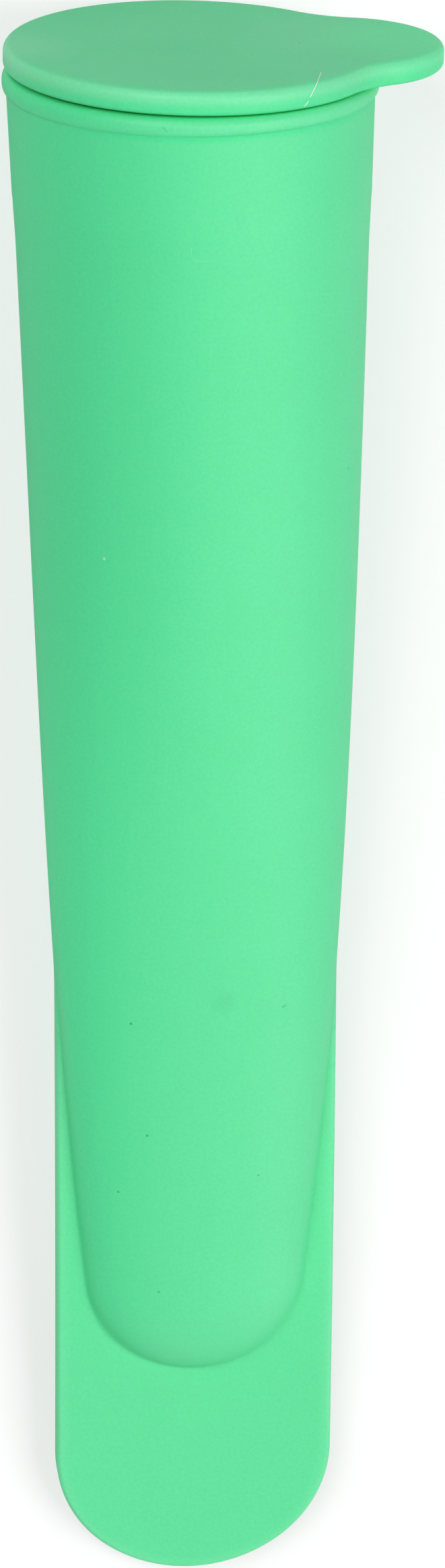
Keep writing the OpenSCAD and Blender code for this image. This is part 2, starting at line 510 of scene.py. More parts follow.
# How the tube's place and masks follow from a point's angle, distance down and inset: in each row the
# result, the operation and what it works on, which are earlier results, sizes of MouldTube or values. A
# result is held between 0 and 1 where the row says so
TUBE_STEPS: tuple[tuple[str | float, ...], ...] = (
    # The round seat
    ("past_bead", "SUBTRACT", "down", "bead_h"),
    ("taper", "MULTIPLY", "past_bead", "draft"),
    ("seat_out", "SUBTRACT", "mouth_r", "taper"),
    ("seat_r", "SUBTRACT", "seat_out", "inset"),
    # The body: half width falls ever faster, half depth evenly
    ("past_seat", "SUBTRACT", "down", "seat_depth"),
    ("below", "MAXIMUM", "past_seat", 0.0),
    ("u", "DIVIDE", "below", "body_len"),
    ("u_4", "POWER", "u", 4.0),
    ("u_bent", "SUBTRACT", "u_4", "u"),
    ("u_side", "MULTIPLY_ADD", "u_bent", "side_curve", "u"),
    ("top_r", "ADD", "body_top", "swell"),
    ("top_in", "SUBTRACT", "top_r", "inset"),
    ("side_in", "MULTIPLY", "u_side", "side_drop"),
    ("depth_in", "MULTIPLY", "u", "depth_drop"),
    ("body_w", "SUBTRACT", "top_in", "side_in"),
    ("body_d", "SUBTRACT", "top_in", "depth_in"),
    # The pocket's end, an ellipsoid
    ("end_r", "SUBTRACT", "pocket_r", "inset"),
    ("end_t", "SUBTRACT", "pocket_half_t", "inset"),
    ("past_centre", "SUBTRACT", "down", "end_c"),
    ("end_u", "DIVIDE", "past_centre", "end_r"),
    ("end_u2", "MULTIPLY", "end_u", "end_u"),
    ("end_open", "SUBTRACT held", 1.0, "end_u2"),
    ("end_share", "SQRT", "end_open"),
    ("end_w", "MULTIPLY", "end_r", "end_share"),
    ("end_d", "MULTIPLY", "end_t", "end_share"),
    # Which of the three holds at this distance
    ("is_end", "GREATER_THAN", "down", "end_start"),
    ("is_seat", "LESS_THAN", "down", "seat_depth"),
    ("w_more", "SUBTRACT", "end_w", "body_w"),
    ("d_more", "SUBTRACT", "end_d", "body_d"),
    ("low_w", "MULTIPLY_ADD", "w_more", "is_end", "body_w"),
    ("low_d", "MULTIPLY_ADD", "d_more", "is_end", "body_d"),
    ("w_seat", "SUBTRACT", "seat_r", "low_w"),
    ("d_seat", "SUBTRACT", "seat_r", "low_d"),
    ("half_w", "MULTIPLY_ADD", "w_seat", "is_seat", "low_w"),
    ("half_d", "MULTIPLY_ADD", "d_seat", "is_seat", "low_d"),
    # The outline, where the tongue's round end takes over from the walls
    ("outside", "LESS_THAN", "inset", "half_wall"),
    ("past_tip", "SUBTRACT", "down", "tip_c"),
    ("past_tip2", "MULTIPLY", "past_tip", "past_tip"),
    ("tip_r2", "MULTIPLY", "tip_r", "tip_r"),
    ("tip_chord2", "SUBTRACT", "tip_r2", "past_tip2"),
    ("tip_open", "MAXIMUM", "tip_chord2", 0.0),
    ("tip_chord", "SQRT", "tip_open"),
    ("past_corner", "SUBTRACT", "down", "corner_c"),
    ("corner_y", "MAXIMUM", "past_corner", 0.0),
    ("corner_y2", "MULTIPLY", "corner_y", "corner_y"),
    ("corner_r2", "MULTIPLY", "corner_r", "corner_r"),
    ("corner_chord2", "SUBTRACT", "corner_r2", "corner_y2"),
    ("corner_open", "MAXIMUM", "corner_chord2", 0.0),
    ("corner_chord", "SQRT", "corner_open"),
    ("side_w", "ADD", "corner_chord", "corner_under"),
    ("turn_y", "MULTIPLY", "tip_r", "tip_cos"),
    ("is_tip", "GREATER_THAN", "past_tip", "turn_y"),
    ("tip_more", "SUBTRACT", "tip_chord", "side_w"),
    ("oval_w", "MULTIPLY_ADD", "tip_more", "is_tip", "side_w"),
    ("tongue_w", "MULTIPLY", "oval_w", "outside"),
    ("reach", "SMOOTH_MAX", "half_w", "tongue_w", SIDE_FILLET),
    ("cos", "COSINE", "angle"),
    ("sin", "SINE", "angle"),
    ("x", "MULTIPLY", "reach", "cos"),
    # Height of the bulging wall at that x
    ("wall_u", "DIVIDE", "x", "half_w"),
    ("wall_u2", "MULTIPLY", "wall_u", "wall_u"),
    ("wall_open", "SUBTRACT held", 1.0, "wall_u2"),
    ("wall_share", "SQRT", "wall_open"),
    ("wall_y", "MULTIPLY", "half_d", "wall_share"),
    # Height of the tongue at that x, rounded near its edge and falling away past it
    ("x_2", "MULTIPLY", "x", "x"),
    ("tip_off2", "ADD", "x_2", "past_tip2"),
    ("tip_off", "SQRT", "tip_off2"),
    ("to_tip", "SUBTRACT", "tip_r", "tip_off"),
    ("x_abs", "ABSOLUTE", "x"),
    ("corner_in", "SUBTRACT", "x_abs", "corner_under"),
    ("corner_x", "MAXIMUM", "corner_in", 0.0),
    ("corner_x2", "MULTIPLY", "corner_x", "corner_x"),
    ("corner_off2", "ADD", "corner_x2", "corner_y2"),
    ("corner_off", "SQRT", "corner_off2"),
    ("to_side", "SUBTRACT", "corner_r", "corner_off"),
    ("sector_x", "MULTIPLY", "x_abs", "tip_cos"),
    ("sector_y", "MULTIPLY", "past_tip", "tip_sin"),
    ("in_sector", "LESS_THAN", "sector_x", "sector_y"),
    ("edge_more", "SUBTRACT", "to_tip", "to_side"),
    ("to_edge", "MULTIPLY_ADD", "edge_more", "in_sector", "to_side"),
    ("near", "MINIMUM", "to_edge", "tongue_round"),
    ("near_in", "MAXIMUM", "near", 0.0),
    ("near_out", "SUBTRACT", "near", "near_in"),
    ("arc_x", "SUBTRACT", "tongue_round", "near_in"),
    ("arc_x2", "MULTIPLY", "arc_x", "arc_x"),
    ("round_2", "MULTIPLY", "tongue_round", "tongue_round"),
    ("arc_2", "SUBTRACT", "round_2", "arc_x2"),
    ("arc_open", "MAXIMUM", "arc_2", 0.0),
    ("arc_y", "SQRT", "arc_open"),
    ("edge_y", "SUBTRACT", "tongue_half_t", "tongue_round"),
    ("round_y", "ADD", "edge_y", "arc_y"),
    ("fall_y", "MULTIPLY_ADD", "near_out", EDGE_FALL, "round_y"),
    ("plate_y", "MAXIMUM", "fall_y", -FAR_IN),
    ("plate_up", "ADD", "plate_y", FAR_IN),
    ("tongue_y", "MULTIPLY_ADD", "plate_up", "outside", -FAR_IN),
    # A hollow fillet where the wall meets the tongue, then front and back
    ("height", "SMOOTH_MAX", "wall_y", "tongue_y", "crease_fillet"),
    ("way", "SIGN", "sin"),
    ("level", "ABSOLUTE", "sin"),
    ("off_middle", "GREATER_THAN", "level", MIDDLE_SINE),
    ("way_on", "MULTIPLY", "way", "off_middle"),
    ("y", "MULTIPLY", "height", "way_on"),
    # The soft rim has followed the cocked lid up a little, most where it is farthest from the tab
    ("rim_part", "DIVIDE", "down", "bead_h"),
    ("rim_share", "SUBTRACT held", 1.0, "rim_part"),
    ("rim_turn", "SUBTRACT", 1.0, "cos"),
    ("rim_way", "MULTIPLY", "rim_turn", "rim_share"),
    ("flat_z", "MULTIPLY", "down", -1.0),
    ("z", "MULTIPLY_ADD", "rim_way", "rim_lift", "flat_z"),
    # The whole tube has taken on a slight bow to the side of the tab
    ("along", "DIVIDE", "down", "length"),
    ("left_over", "SUBTRACT", 1.0, "along"),
    ("arch", "MULTIPLY", "along", "left_over"),
    ("arch_full", "MULTIPLY", "arch", 4.0),
    ("bowed_x", "MULTIPLY_ADD", "arch_full", "bow", "x"),
    # Masks: painted shade in the crease, where wall and tongue are level, and a painted highlight on a strip
    # along the tongue's bare edge
    ("apart", "SUBTRACT", "wall_y", "tongue_y"),
    ("apart_abs", "ABSOLUTE", "apart"),
    ("apart_part", "DIVIDE", "apart_abs", "crease_width"),
    ("at_crease", "SUBTRACT held", 1.0, "apart_part"),
    ("crease", "MULTIPLY", "at_crease", "outside"),
    ("edge_abs", "ABSOLUTE", "to_edge"),
    ("edge_part", "DIVIDE", "edge_abs", "rubbed_width"),
    ("at_edge", "SUBTRACT held", 1.0, "edge_part"),
    ("edge_bare", "MULTIPLY", "at_edge", "bare"),
    ("tongue_edge", "MULTIPLY", "edge_bare", "outside"),
    # Masks of the wall's flanks, where it stands proud of the tongue: painted shade on the left flank and on
    # its upper part, and a painted highlight on the right flank
    ("proud_part", "DIVIDE held", "apart", "proud_full"),
    ("proud", "MULTIPLY", "proud_part", "outside"),
    ("left", "MULTIPLY held", "cos", LEFT_RISE),
    ("left_2", "MULTIPLY", "left", "left"),
    ("left_more", "SUBTRACT", "left_2", "left"),
    ("left_shaped", "MULTIPLY_ADD", "left_more", "low", "left"),
    ("left_flank", "MULTIPLY", "left_shaped", "proud"),
    ("left_wide", "MULTIPLY held", "cos", WIDE_RISE),
    ("high", "SUBTRACT", 1.0, "low"),
    ("left_high", "MULTIPLY", "left_wide", "high"),
    ("upper_left", "MULTIPLY", "left_high", "proud"),
    ("right", "MAXIMUM", "cos", 0.0),
    ("right_bare", "MULTIPLY", "right", "bare"),
    ("right_flank", "MULTIPLY", "right_bare", "proud"),
)


@dataclass
class MouldTube:
    """The tube: one moulding with a beaded mouth, a flattening wall, a rounded pocket and a flat tongue."""

    mouth_r: float = 21.85
    bead_lip: float = 0.5
    bead_h: float = 2.05
    bead_round: float = 0.9
    seat_depth: float = 15.0
    seat_draft: float = 2.0
    lead_in: float = 0.4
    length: float = 197.0
    wall: float = 1.8
    seat_swell: float = 0.1
    swell_run: float = 6.0
    pocket_r: float = 14.2
    pocket_half_t: float = 7.0
    pocket_draft: float = 6.5
    tongue_bare: float = 28.2
    tongue_half_w: float = 17.55
    tongue_half_t: float = 1.5
    tongue_round: float = 0.6
    tip_over: float = 1.0
    corner_under: float = 1.5
    skin_gap: float = 0.05
    crease_fillet: float = 0.7
    crease_width: float = 1.0
    # Width of the painted highlight along the tongue's edge
    rubbed_width: float = 1.8
    flange_start: float = 112.0
    flange_full: float = 128.0
    # Distances down over which the painted shade on the left flank turns from its upper form to its lower one
    dull_full: float = 50.0
    dull_end: float = 105.0
    proud_full: float = 2.0
    tongue_start: float = 100.0
    rim_lift: float = 0.3
    bow: float = 0.58
    # Distances down, each with the number of rings that lead to it, which lie closer along the crease
    row_stops: tuple[tuple[float, int], ...] = ((105, 34), (147, 40), (164.6, 50), (170, 27))
    marks: tuple[Mark, ...] = (
        Mark(-9.0, 117.6, 0.16, 0.75),
        Mark(-6.9, 133.1, 0.16, 0.7),
        Mark(-10.3, 141.5, 0.15, 0.6),
        Mark(-5.2, 155.4, 0.14, 0.6),
        Mark(7.1, 139.5, 0.13, 0.55),
        Mark(9.9, 116.3, 0.17, 0.45),
        Mark(10.2, 116.2, 0.14, 0.4),
        Mark(2.3, 114.6, 1.6, 0.07),
        Mark(17.6, 46.8, 0.16, 0.5),
        Mark(-12.3, 55.6, 0.2, 0.6, Tone.PALE),
        Mark(-5.5, 0.68, 0.12, 0.3),
        Mark(-5.33, 0.9, 0.12, 0.3),
        Mark(-5.15, 1.12, 0.12, 0.3),
    )

    def __post_init__(self) -> None:
        """Works out the sizes that follow from the named ones."""
        self.draft = math.tan(math.radians(self.seat_draft))
        self.rim_r = self.mouth_r + self.bead_lip
        self.foot_r = self.mouth_r - (self.seat_depth - self.bead_h) * self.draft
        self.swell_end = self.seat_depth + self.swell_run
        self.half_wall = self.wall / 2
        self.end_c = self.length - self.tongue_bare - self.pocket_r
        slope = math.radians(self.pocket_draft)
        self.end_start = self.end_c + self.pocket_r * math.sin(slope)
        self.body_len = self.end_start - self.seat_depth
        self.body_top = self.foot_r - self.skin_gap - self.seat_swell
        self.side_drop = self.body_top - self.pocket_r * math.cos(slope)
        self.depth_drop = self.body_top - self.pocket_half_t * math.cos(slope)
        self.side_curve = (math.tan(slope) * self.body_len / self.side_drop - 1) / 3
        self.tip_r = self.tongue_half_w + self.tip_over
        self.corner_r = self.tongue_half_w - self.corner_under
        self.tip_c = self.length - self.tip_r
        self.tip_turn = math.asin(self.corner_under / (self.tip_over + self.corner_under))
        self.tip_cos, self.tip_sin = math.cos(self.tip_turn), math.sin(self.tip_turn)
        self.corner_c = self.tip_c + (self.tip_over + self.corner_under) * self.tip_cos

    def bore_foot_r(self) -> float:
        """Gives the radius of the bore at the foot of the seat."""
        return self.foot_r - self.wall

    def front(self, across: float, down: float) -> float:
        """Works out how far the tube's front stands before its middle plane.

        Args:
            across: The distance to the side of the tube's axis.
            down: The distance down, on the bead or below the seat.

        Returns:
            The distance in millimetres.
        """
        if down < self.bead_h:
            return math.sqrt(self.rim_r**2 - across**2)
        u = (down - self.seat_depth) / self.body_len
        if down > self.end_start:
            share = math.sqrt(max(1 - ((down - self.end_c) / self.pocket_r) ** 2, 0))
            half_w, half_d = self.pocket_r * share, self.pocket_half_t * share
        else:
            bend = (1 - self.side_curve) * u + self.side_curve * u**4
            half_w = self.body_top - self.side_drop * bend
            half_d = self.body_top - self.depth_drop * u
        bulge = half_d * math.sqrt(max(1 - (across / half_w) ** 2, 0)) if half_w else 0.0
        return max(bulge, self.tongue_half_t if down > self.tongue_start else 0.0)

    def bowed(self, down: float) -> float:
        """Gives how far the bow has moved the tube sideways at a distance down it."""
        along = down / self.length
        return 4 * self.bow * along * (1 - along)

    def angles(self) -> list[float]:
        """Spaces a ring's points, closer together towards the sides, where the crease runs.

        Returns:
            The angle of each point.
        """
        side, parts_side, parts_face = 45.0, 34, 18
        quarter = [0.0] + steps(0, side, parts_side) + steps(side, 90, parts_face)
        half = quarter[:-1] + [180 - a for a in reversed(quarter)][:-1]
        return [math.radians(a + turn) for turn in (0, 180) for a in half]

    def rows(self) -> list[tuple[float, float]]:
        """Gives each ring's distance down and how far it is set in from the outside.

        The plain numbers are only where rings lie and how many, which is closer where the shape bends.

        Returns:
            The rings from the pole of the pocket's inside, up to the mouth, over the bead and down the
            outside to the tip of the tongue.
        """
        rows: list[tuple[float, float]] = []
        inner_r = self.pocket_r - self.wall
        for turn in steps(90, self.pocket_draft + 2, 14):
            rows.append((self.end_c + inner_r * math.sin(math.radians(turn)), self.wall))
        rows.insert(0, (self.end_c + inner_r, self.wall))
        rows += [(down, self.wall) for down in steps(self.end_start - 2, self.seat_depth + 0.5, 30)]

        def on_seat(down: float, radius: float) -> tuple[float, float]:
            """Gives the row at a radius about the tube's axis."""
            return down, self.mouth_r - (down - self.bead_h) * self.draft - radius

        bore_top, bore_foot = self.mouth_r - self.wall, self.bore_foot_r()
        share = (self.seat_depth - self.lead_in) / 6
        for i in range(7):
            rows.append(on_seat(self.seat_depth - i * share, bore_foot + (bore_top - bore_foot) * i / 6))
        rows.append(on_seat(self.lead_in * 0.2, bore_top + self.lead_in * 0.8))
        flat_r = self.rim_r - self.bead_round
        flat = (bore_top + self.lead_in * 1.15, (bore_top + flat_r) / 2 + 0.2, flat_r)
        rows += [on_seat(0.0, r) for r in flat]
        for turn in steps(90, 0, 8):
            a = math.radians(turn)
            down = self.bead_round * (1 - math.sin(a))
            rows.append(on_seat(down, flat_r + self.bead_round * math.cos(a)))
        low = self.bead_h - self.bead_round
        for turn in steps(0, 60, 7):
            a = math.radians(turn)
            down = low + self.bead_round * math.sin(a)
            rows.append(on_seat(down, flat_r + self.bead_round * math.cos(a)))
        # Small hollow fillet under the bead
        for past, out in ((-0.07, 0.05), (0.0, 0.02), (0.1, 0.005), (0.2, 0.0), (0.4, 0.0)):
            rows.append((self.bead_h + past, -out))
        reached = self.bead_h + 0.4
        for stop, count in (
            (self.seat_depth - 0.6, 9),
            (self.swell_end, 10),
            *self.row_stops,
            (self.corner_c, 8),
        ):
            rows += [(down, 0.0) for down in steps(reached, stop, count)]
            reached = stop
        quarter = math.pi / 2
        for turn in steps(0, quarter - self.tip_turn, 24):
            rows.append((self.corner_c + self.corner_r * math.sin(turn), 0.0))
        for turn in steps(quarter - self.tip_turn, quarter, 20):
            rows.append((self.tip_c + self.tip_r * math.sin(turn), 0.0))
        return rows

    def sizes(self) -> dict[str, float]:
        """Gives the tree's number inputs, which are the sizes that its ramps and steps name."""
        named = {term for row in TUBE_RAMPS + TUBE_STEPS for term in row[2:]}
        return {name: size for name, size in vars(self).items() if name in named}

    def tree(self) -> Tree:
        """Builds the tree that bends rings given as (angle, distance down, inset) into the tube.

        Returns:
            The tree.
        """
        tree, given = start_tree("mould_tube_shape", tuple(self.sizes()))
        given_as = add(tree, "GeometryNodeInputPosition")[0]
        parts = add(tree, "ShaderNodeSeparateXYZ", {0: given_as})
        known = {name: given[name] for name in self.sizes()}
        known |= {"angle": parts[0], "down": parts[1], "inset": parts[2]}
        for result, curve, *terms in TUBE_RAMPS:
            feeds = {i: known.get(term, term) for i, term in enumerate(terms)}
            known[result] = add(tree, "ShaderNodeMapRange", feeds, interpolation_type=curve)[0]
        for result, operation, *terms in TUBE_STEPS:
            feeds = {i: known.get(term, term) for i, term in enumerate(terms)}
            kind, _, held = operation.partition(" ")
            known[result] = add(tree, "ShaderNodeMath", feeds, operation=kind, use_clamp=bool(held))[0]
        spot = {i: known[axis] for i, axis in enumerate(("bowed_x", "y", "z"))}
        place = add(tree, "ShaderNodeCombineXYZ", spot)[0]
        shape = given["Mesh"]
        for mask in ("crease", "tongue_edge", "left_flank", "upper_left", "right_flank"):
            feeds = {"Geometry": shape, "Name": mask, "Value": known[mask]}
            shape = add(tree, "GeometryNodeStoreNamedAttribute", feeds)[0]
        bent = add(tree, "GeometryNodeSetPosition", {"Geometry": shape, "Position": place})
        end_tree(tree, given, bent[0])
        return tree

    def build(self, place: Matrix) -> bpy.types.Object:
        """Builds and dresses the tube.

        Args:
            place: The matrix from the tube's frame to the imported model's.

        Returns:
            The piece.
        """
        rings = [[(a, down, inset) for a in self.angles()] for down, inset in self.rows()]
        spots = []
        for mark in self.marks:
            x = mark.across + self.bowed(mark.down)
            spots.append((mark, place @ Vector((x, -self.front(mark.across, mark.down), -mark.down))))
        down = -place.col[2].to_3d().normalized()
        # Painted shade in the gap under the lid, a painted highlight on the bead, and painted shade in the
        # corner under it
        bands = (
            Band(GAP_AND_CREASE_SHADE, 0.35, -1.2, -1.1, -0.3, 0.2),
            Band(DUST_AND_HIGHLIGHT, 0.06, 0.2, 0.6, 1.0, 1.6),
            Band(CORNER_SHADE, 0.8, 1.5, 1.9, 2.15, 2.9),
        )
        # Painted shade on the left flank and on its upper part, a painted highlight on the right flank,
        # painted shade in the crease and a painted highlight along the tongue's edge
        drawn = (
            ("left_flank", SHADED, 1.0),
            ("upper_left", DIRT_AND_SHADE, 0.11),
            ("right_flank", DUST_AND_HIGHLIGHT, 0.03),
            ("crease", GAP_AND_CREASE_SHADE, 0.35),
            ("tongue_edge", DUST_AND_HIGHLIGHT, 0.1),
        )
        painted_light = PaintedLight(place.to_translation(), down, bands, drawn)
        finish = Silicone("silicone_moulded_mint").make(spots, painted_light)
        piece = grow("silicone_tube", skin("tube_rings", rings), self.tree(), self.sizes(), finish, place)
        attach(piece, "tube")
        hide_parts("mold_tube")
        return piece


@dataclass
class Lid:
    """The lid: one moulding with a disc, a round pull tab and a plug with sealing ribs."""

    disc_r: float = 22.2
    thick: float = 2.95
    top_round: float = 1.0
    low_round: float = 0.8
    tab_r: float = 11.6
    tab_reach: float = 18.9
    tab_blend: float = 12.5
    turn: float = 6.0
    cock: float = 1.3
    gap: float = 0.04
    plug_depth: float = 13.0
    plug_gap: float = 0.7
    plug_wall: float = 1.8
    rib_count: int = 2
    rib_h: float = 0.25
    rib_parts: int = 96
    rib_sides: int = 12
    tube: MouldTube = field(default_factory=MouldTube)
    # A dirt speck, painted sheen at the left end and on the right of the top, and a painted glow of light
    # through the tab
    marks: tuple[Mark, ...] = (
        Mark(12.9, -1.0, 0.17, 0.45),
        Mark(-22.0, 2.0, 7.5, 0.12, Tone.PALE),
        Mark(16.0, 4.0, 9.0, 0.05, Tone.PALE),
        Mark(26.0, 0.0, 9.5, 0.6, Tone.FULL),
    )

    def bear_r(self) -> float:
        """Gives the distance from the middle at which the lid bears on the mouth."""
        return self.tube.rim_r - self.tube.bead_round

    def plug_r(self) -> float:
        """Gives the plug's radius."""
        return self.tube.bore_foot_r() - self.plug_gap

    def in_tube(self) -> Matrix:
        """Works out how the lid sits in the tube: turned, and cocked about where it bears.

        Returns:
            The matrix from the lid's frame to the tube's.
        """
        return (
            Matrix.Translation((self.bear_r(), 0, self.gap))
            @ Matrix.Rotation(math.radians(self.cock), 4, "Y")
            @ Matrix.Translation((-self.bear_r(), 0, 0))
            @ Matrix.Rotation(math.radians(self.turn), 4, "Z")
        )

    def outline(self) -> tuple[np.ndarray, np.ndarray]:
        """Gives the points of the outline of disc and tab, and the way out at each.

        Returns:
            Two arrays of x and y, anticlockwise from the middle of the lower half of the tab.
        """
        disc, tab, blend = self.disc_r, self.tab_r, self.tab_blend
        far = ((disc + blend) ** 2 - (tab + blend) ** 2 + self.tab_reach**2) / (2 * self.tab_reach)
        side = math.sqrt((disc + blend) ** 2 - far**2)
        on_disc, on_tab = math.atan2(side, far), math.atan2(side, far - self.tab_reach)
        # Centre, radius, way out, first and last angle, number of points
        arcs = (
            ((self.tab_reach, 0.0), tab, 1, -on_tab, on_tab, 64),
            ((far, side), blend, -1, on_tab - math.pi, on_disc - math.pi, 22),
            ((0.0, 0.0), disc, 1, on_disc, 2 * math.pi - on_disc, 120),
            ((far, -side), blend, -1, math.pi - on_disc, math.pi - on_tab, 22),
        )
        points, ways = [], []
        for (x, y), radius, way, first, last, count in arcs:
            for i in range(count):
                a = first + (last - first) * i / count
                points.append((x + radius * math.cos(a), y + radius * math.sin(a)))
                ways.append((way * math.cos(a), way * math.sin(a)))
        return np.array(points), np.array(ways)

    def rings(self) -> list[Ring]:
        """Lays out the lid's rings.

        The plain numbers are only where rings lie and how many, and small roundings of the hidden plug.

        Returns:
            The rings from the middle of the top, over the edge and round the plug, to its ceiling.
        """
        points, ways = self.outline()
        rings: list[Ring] = []

        def ring(flat: np.ndarray, z: float) -> None:
            """Adds a ring at one height."""
            rings.append([(float(x), float(y), z) for x, y in flat])

        top = points - ways * self.top_round
        for share in (0.0, 0.3, 0.6, 0.8, 0.93):
            ring(top * share, self.thick)
        for turn in (0, *steps(0, 90, 8)):
            a = math.radians(turn)
            ring(
                points - ways * self.top_round * (1 - math.sin(a)),
                self.thick - self.top_round * (1 - math.cos(a)),
            )
        for turn in (0, *steps(0, 90, 6)):
            a = math.radians(turn)
            ring(points - ways * self.low_round * (1 - math.cos(a)), self.low_round * (1 - math.sin(a)))
        low = points - ways * self.low_round
        unit = points / np.linalg.norm(points, axis=1)[:, None]
        plug = unit * self.plug_r()
        ring(low + (plug - low) * 0.5, 0.0)
        for out in (0.3, 0.08):
            ring(unit * (self.plug_r() + out), -0.08 * (0.3 - out) / 0.22)
        for down in (0.3, 3.0, 6.0, 9.0, self.plug_depth - 0.3):
            ring(plug, -down)
        ring(unit * (self.plug_r() - 0.3), -self.plug_depth)
        inner = unit * (self.plug_r() - self.plug_wall)
        ring(inner * 1.005, -self.plug_depth)
        for down in (self.plug_depth - 0.2, 8.0, 4.0, 0.2):
            ring(inner, -down)
        for share in (0.99, 0.6, 0.0):
            ring(inner * share, 0.0)
        return rings

    def sizes(self) -> dict[str, float]:
        """Gathers the tree's number inputs.

        Returns:
            Each size by its input's name.
        """
        return {
            "Plug radius": self.plug_r(),
            "Rib height": self.rib_h,
            "Rib count": self.rib_count,
            "Rib spacing": self.plug_depth / (self.rib_count + 1),
        }

    def tree(self) -> Tree:
        """Builds the tree that adds the sealing ribs, evenly spaced down the plug.

        Returns:
            The tree.
        """
        tree, given = start_tree("lid_sealing_ribs", tuple(self.sizes()))
        around, bead = (
            add(tree, "GeometryNodeCurvePrimitiveCircle", {"Resolution": count, "Radius": given[size]})[0]
            for count, size in ((self.rib_parts, "Plug radius"), (self.rib_sides, "Rib height"))
        )
        rib = add(tree, "GeometryNodeCurveToMesh", {"Curve": around, "Profile Curve": bead})
        drop = add(tree, "ShaderNodeMath", {0: given["Rib spacing"], 1: -1.0}, operation="MULTIPLY")[0]
        first = add(tree, "ShaderNodeCombineXYZ", {2: drop})[0]
        row = {"Count": given["Rib count"], "Start Location": first, "Offset": first}
        places = add(tree, "GeometryNodeMeshLine", row)[0]
        ribs = add(tree, "GeometryNodeInstanceOnPoints", {"Points": places, "Instance": rib[0]})
        real = add(tree, "GeometryNodeRealizeInstances", {"Geometry": ribs[0]})
        clean = add(tree, "GeometryNodeMergeByDistance", {"Geometry": given["Mesh"], "Distance": MERGE_MM})
        both = {1: [clean[0], real[0]]}
        whole = add(tree, "GeometryNodeMeshBoolean", both, operation="UNION", solver="EXACT")
        end_tree(tree, given, whole[0])
        return tree

    def build(self, place: Matrix) -> bpy.types.Object:
        """Builds and dresses the lid.

        Args:
            place: The matrix from the tube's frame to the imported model's.

        Returns:
            The piece.
        """
        here = place @ self.in_tube()
        spots = [(mark, here @ Vector((mark.across, mark.down, self.thick))) for mark in self.marks]
        up = here.col[2].to_3d().normalized()
        # Painted shade under the lid in the gap, painted shade along its lower side and a painted highlight
        # on its top edge
        bands = (
            Band(GAP_AND_CREASE_SHADE, 0.9, -3.0, -1.0, 0.0, 0.35),
            Band(CORNER_SHADE, 0.5, -0.5, 0.1, 0.7, 1.9),
            Band(DUST_AND_HIGHLIGHT, 0.14, 0.9, 2.1, 2.7, 2.9),
        )
        painted_light = PaintedLight(here.to_translation(), up, bands)
        finish = Silicone("silicone_moulded_mint_lid").make(spots, painted_light)
        piece = grow("silicone_lid", skin("lid_rings", self.rings()), self.tree(), self.sizes(), finish, here)
        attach(piece, "lid")
        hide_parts("lid")
        return piece


@dataclass(frozen=True)
class Lint:
    """A hair of lint that clings to the silicone, along a path in the frame of what carries it."""

    name: str
    body: str
    path: tuple[tuple[float, float, float], ...]
    radius: float
    finish: LintFibre
    parts: int = 40
    sides: int = 6

    def tree(self) -> Tree:
        """Builds the tree that sweeps a fine round section along a path.

        Returns:
            The tree.
        """
        tree, given = start_tree(self.name + "_sweep", ("Radius",))
        line = add(tree, "GeometryNodeMeshToCurve", {"Mesh": given["Mesh"]})
        soft = add(tree, "GeometryNodeCurveSplineType", {"Curve": line[0]}, spline_type="CATMULL_ROM")
        even = add(tree, "GeometryNodeResampleCurve", {"Curve": soft[0], "Count": self.parts})
        outline = {"Resolution": self.sides, "Radius": given["Radius"]}
        section = add(tree, "GeometryNodeCurvePrimitiveCircle", outline)
        sweep = {"Curve": even[0], "Profile Curve": section[0], "Fill Caps": True}
        hair = add(tree, "GeometryNodeCurveToMesh", sweep)
        end_tree(tree, given, hair[0])
        return tree

    def build(self, place: Matrix) -> bpy.types.Object:
        """Builds the hair and lets it ride on its body.

        Args:
            place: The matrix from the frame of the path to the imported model's.

        Returns:
            The piece.
        """
        line = bpy.data.meshes.new(self.name + "_path")
        line.from_pydata(list(self.path), [(i, i + 1) for i in range(len(self.path) - 1)], [])
        piece = grow(self.name, line, self.tree(), {"Radius": self.radius}, self.finish.make(), place)
        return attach(piece, self.body)


